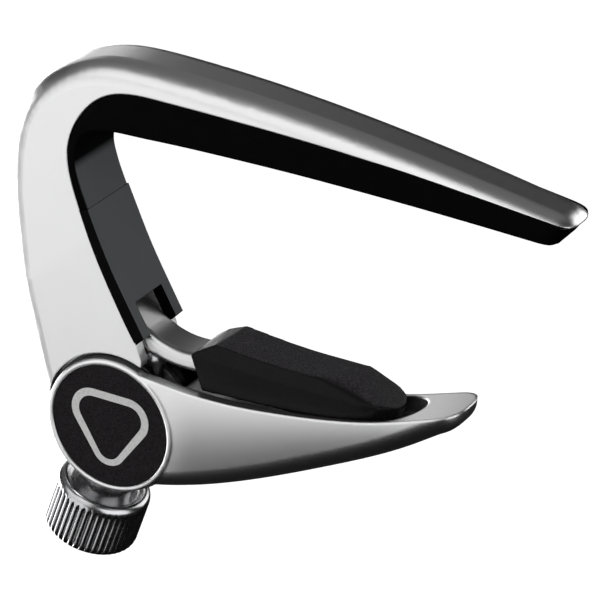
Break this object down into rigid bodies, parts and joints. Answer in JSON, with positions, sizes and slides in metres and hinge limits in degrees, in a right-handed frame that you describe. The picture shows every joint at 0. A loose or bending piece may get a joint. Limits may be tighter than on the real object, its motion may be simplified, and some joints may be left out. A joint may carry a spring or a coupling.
{
  "type": "guitar capo",
  "caption": "C-shaped metal guitar capo with a rubber string pad, a hinged release arm, and a thumbscrew that raises a curved lever with a rubber neck pad",
  "frame": {"origin": "middle of the string pad's face, in the mid-plane of the body; the pad is very slightly hollow, so this is the highest point of its face", "axes": "+X along the upper arm from the leg towards its tip, across the fretboard; +Y along the guitar's neck; +Z from the fretboard up through the upper arm"},
  "size_m": [0.0792, 0.013, 0.0721],
  "materials": {
    "satin_metal": "satin pearl chrome over cast metal",
    "lever_metal": "satin plated steel",
    "bright_steel": "polished plating",
    "inner_steel": "plain steel",
    "barrel_brass": "machined",
    "string_rubber": "smooth moulded silicone rubber",
    "neck_rubber": "smooth moulded rubber",
    "liner_plastic": "fine matt moulding",
    "bush_plastic": "glossy acetal",
    "badge_face": "fine-grained black disc with a plain plectrum outline"
  },
  "bodies": {
    "body": {"frame": "satin_metal", "string_pad": "string_rubber", "leg_liner": "liner_plastic", "rear_bush": "bush_plastic", "front_bush": "bush_plastic"},
    "release": {"release_arm": "satin_metal", "arm_barrel": "barrel_brass", "rear_badge": "badge_face", "front_badge": "badge_face"},
    "foot": {"screw_foot": "inner_steel", "foot_clip": "inner_steel"},
    "thumbscrew": {"adjusting_screw": "inner_steel", "thumb_knob": "bright_steel", "knob_collar": "bright_steel"},
    "pivot": {"lever_pin": "inner_steel"},
    "lever": {"pad_lever": "lever_metal", "lever_bush": "barrel_brass", "neck_pad": "neck_rubber", "return_spring": "inner_steel"}
  },
  "joints": [
    {"name": "release_hinge", "type": "hinge", "parent": "body", "child": "release", "pos_m": [-0.029, 0, -0.0419], "axis": [0, 1, 0], "range_deg": [0, 50]},
    {"name": "screw_advance", "type": "slide", "parent": "release", "child": "foot", "axis": [0.289, 0, 0.9573], "range_m": [0, 0.0026]},
    {"name": "screw_turn", "type": "hinge", "parent": "foot", "child": "thumbscrew", "pos_m": [-0.029, 0, -0.0419], "axis": [0.289, 0, 0.9573], "range_deg": [-5, 1175]},
    {"name": "lever_drop", "type": "hinge", "parent": "body", "child": "pivot", "pos_m": [-0.036, 0, -0.0235], "axis": [0, 1, 0], "range_deg": [-0.5, 5]},
    {"name": "lever_lift", "type": "hinge", "parent": "pivot", "child": "lever", "pos_m": [-0.036, 0, -0.0235], "axis": [0, 1, 0], "range_deg": [-13.5, 0.5]}
  ],
  "couplings": [
    {"joint": "screw_turn", "follows": "screw_advance", "rad_per_m": 7854},
    {"joint": "lever_drop", "follows": "release_hinge", "ratio": 0.09},
    {"joint": "lever_lift", "follows": "screw_advance", "rad_per_m": -83.199}
  ]
}
